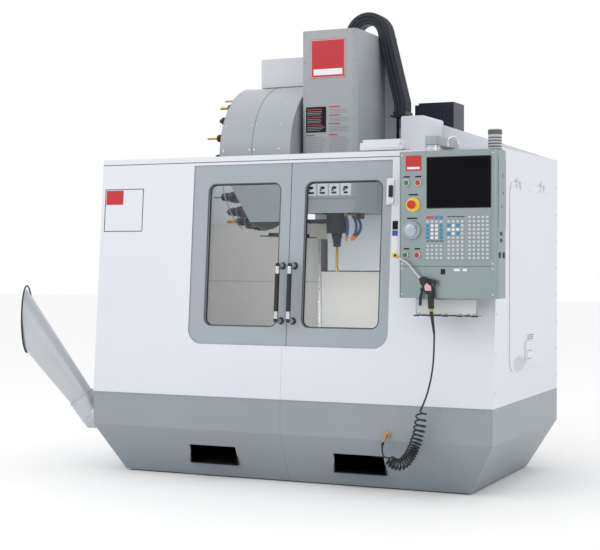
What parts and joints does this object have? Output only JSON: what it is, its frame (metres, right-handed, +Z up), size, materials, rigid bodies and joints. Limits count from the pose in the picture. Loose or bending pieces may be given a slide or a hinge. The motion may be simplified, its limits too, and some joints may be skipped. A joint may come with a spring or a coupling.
{
  "type": "cnc machining center",
  "caption": "Enclosed vertical machining center with sliding doors, side tool changer, operator pendant, chip chute and hanging air gun.",
  "frame": {"origin": "centre of the four anchor holes of the levelling pads, on the floor", "axes": "+X to the operator's right, +Y to the back of the machine, +Z up"},
  "size_m": [2.8419, 1.998, 2.611],
  "materials": {
    "enclosure_white": "semi-gloss powder coat",
    "panel_grey": "semi-gloss powder coat",
    "band_grey": "semi-gloss powder coat",
    "skirt_grey": "satin powder coat",
    "head_grey": "semi-gloss powder coat",
    "cast_iron": "painted casting with machined faces",
    "ground_steel": "ground",
    "bare_sheet": "satin",
    "chute_steel": "brushed",
    "window_glass": "clear laminated",
    "handle_black": "satin",
    "dark_metal": "satin black oxide",
    "motor_black": "satin",
    "tank_grey": "satin",
    "pendant_steel": "brushed",
    "screen_dark": "gloss",
    "keypad_grey": "satin membrane",
    "stop_red": "gloss",
    "button_red": "gloss",
    "button_green": "gloss",
    "dial_black": "satin",
    "lamp_pale": "translucent",
    "gun_black": "satin",
    "brass": "turned",
    "hose_black": "satin",
    "cable_dark": "satin ribbed",
    "tool_steel": "ground"
  },
  "bodies": {
    "machine": {"base_casting": "cast_iron", "levelling_feet": "ground_steel", "linear_rails": "ground_steel", "axis_motors": "motor_black", "column": "cast_iron", "column_covers": "panel_grey", "changer_gearbox": "dark_metal", "changer_shroud": "enclosure_white", "skirt_left": "skirt_grey", "skirt_right": "skirt_grey", "front_panel_left": "enclosure_white", "front_panel_right": "enclosure_white", "left_side_panel": "enclosure_white", "right_side_panel": "enclosure_white", "rear_panel": "enclosure_white", "splash_panels": "bare_sheet", "chip_pan": "bare_sheet", "chip_chute": "chute_steel", "door_tracks": "bare_sheet", "control_cabinet": "enclosure_white", "coolant_tank": "tank_grey", "cable_carrier": "cable_dark", "pendant_arm": "panel_grey", "hose_fitting": "brass", "air_hose": "hose_black", "air_hose_coil": "hose_black"},
    "saddle": {"saddle": "cast_iron", "x_rails": "ground_steel"},
    "table": {"table": "cast_iron"},
    "way_cover": {"way_cover_middle": "bare_sheet"},
    "head": {"head_casting": "cast_iron", "head_cover": "head_grey", "spindle_motor": "motor_black", "spindle_nose": "dark_metal"},
    "spindle": {"spindle_tool": "tool_steel"},
    "x_screw": {"x_screw": "ground_steel"},
    "y_screw": {"y_screw": "ground_steel"},
    "z_screw": {"z_screw": "ground_steel"},
    "carousel": {"carousel": "tool_steel"},
    "change_arm": {"change_arm": "dark_metal"},
    "left_door": {"left_door": "panel_grey", "left_window": "window_glass", "left_handle": "handle_black"},
    "right_door": {"right_door": "panel_grey", "right_window": "window_glass", "right_handle": "handle_black"},
    "access_door": {"access_door": "enclosure_white"},
    "pendant": {"pendant_box": "pendant_steel", "pendant_screen": "screen_dark", "keypad": "keypad_grey", "beacon": "lamp_pale", "air_gun": "gun_black"},
    "stop_button": {"estop_button": "stop_red"},
    "power_on": {"power_on_button": "button_green"},
    "power_off": {"power_off_button": "button_red"},
    "cycle_start": {"cycle_start_button": "button_green"},
    "feed_hold": {"feed_hold_button": "button_red"},
    "jog": {"jog_wheel": "dial_black"},
    "gun_trigger": {"gun_trigger": "gun_black"},
    "auger": {"auger": "dark_metal"}
  },
  "joints": [
    {"name": "left_door_slide", "type": "slide", "parent": "machine", "child": "left_door", "axis": [-1, 0, 0], "range_m": [0, 0.51]},
    {"name": "right_door_slide", "type": "slide", "parent": "machine", "child": "right_door", "axis": [1, 0, 0], "range_m": [0, 0.51]},
    {"name": "access_door_hinge", "type": "hinge", "parent": "machine", "child": "access_door", "pos_m": [1.158, -0.18, 1.584], "axis": [0, -1, 0], "range_deg": [0, 100]},
    {"name": "saddle_slide", "type": "slide", "parent": "machine", "child": "saddle", "axis": [0, 1, 0], "range_m": [-0.203, 0.203]},
    {"name": "table_slide", "type": "slide", "parent": "saddle", "child": "table", "axis": [1, 0, 0], "range_m": [-0.381, 0.381]},
    {"name": "way_cover_slide", "type": "slide", "parent": "machine", "child": "way_cover", "axis": [0, 1, 0], "range_m": [-0.1015, 0.1015]},
    {"name": "head_slide", "type": "slide", "parent": "machine", "child": "head", "axis": [0, 0, 1], "range_m": [-0.385, 0]},
    {"name": "spindle_spin", "type": "hinge", "parent": "head", "child": "spindle", "pos_m": [0, -0.098, 1.4], "axis": [0, 0, 1], "continuous": true},
    {"name": "x_screw_spin", "type": "hinge", "parent": "saddle", "child": "x_screw", "pos_m": [0, -0.098, 0.56], "axis": [1, 0, 0], "continuous": true},
    {"name": "y_screw_spin", "type": "hinge", "parent": "machine", "child": "y_screw", "pos_m": [0, 0, 0.436], "axis": [0, 1, 0], "continuous": true},
    {"name": "z_screw_spin", "type": "hinge", "parent": "machine", "child": "z_screw", "pos_m": [0, 0.296, 1.5], "axis": [0, 0, 1], "continuous": true},
    {"name": "carousel_spin", "type": "hinge", "parent": "machine", "child": "carousel", "pos_m": [-0.545, 0.104, 1.765], "axis": [1, 0, 0], "continuous": true},
    {"name": "change_arm_swing", "type": "hinge", "parent": "machine", "child": "change_arm", "pos_m": [-0.3, -0.098, 1.31], "axis": [0, 0, -1], "range_deg": [0, 90]},
    {"name": "pendant_swivel", "type": "hinge", "parent": "machine", "child": "pendant", "pos_m": [0.88, -0.975, 1.72], "axis": [0, 0, 1], "range_deg": [-30, 12]},
    {"name": "stop_button_push", "type": "slide", "parent": "pendant", "child": "stop_button", "axis": [0, 1, 0], "range_m": [0, 0.006]},
    {"name": "power_on_push", "type": "slide", "parent": "pendant", "child": "power_on", "axis": [0, 1, 0], "range_m": [0, 0.004], "stiffness_N_per_m": 400},
    {"name": "power_off_push", "type": "slide", "parent": "pendant", "child": "power_off", "axis": [0, 1, 0], "range_m": [0, 0.004], "stiffness_N_per_m": 400},
    {"name": "cycle_start_push", "type": "slide", "parent": "pendant", "child": "cycle_start", "axis": [0, 1, 0], "range_m": [0, 0.004], "stiffness_N_per_m": 400},
    {"name": "feed_hold_push", "type": "slide", "parent": "pendant", "child": "feed_hold", "axis": [0, 1, 0], "range_m": [0, 0.004], "stiffness_N_per_m": 400},
    {"name": "jog_wheel_turn", "type": "hinge", "parent": "pendant", "child": "jog", "pos_m": [0.803, -1.06, 1.322], "axis": [0, -1, 0], "continuous": true},
    {"name": "gun_trigger_squeeze", "type": "hinge", "parent": "pendant", "child": "gun_trigger", "pos_m": [0.866, -1.085, 1.036], "axis": [0, -1, 0], "range_deg": [0, 12], "stiffness_Nm_per_rad": 0.5},
    {"name": "auger_spin", "type": "hinge", "parent": "machine", "child": "auger", "pos_m": [0, -0.755, 0.3], "axis": [1, 0, 0], "continuous": true}
  ],
  "couplings": [
    {"joint": "way_cover_slide", "follows": "saddle_slide", "ratio": 0.5},
    {"joint": "x_screw_spin", "follows": "table_slide", "rad_per_m": -314.16},
    {"joint": "y_screw_spin", "follows": "saddle_slide", "rad_per_m": -314.16},
    {"joint": "z_screw_spin", "follows": "head_slide", "rad_per_m": -314.16}
  ]
}
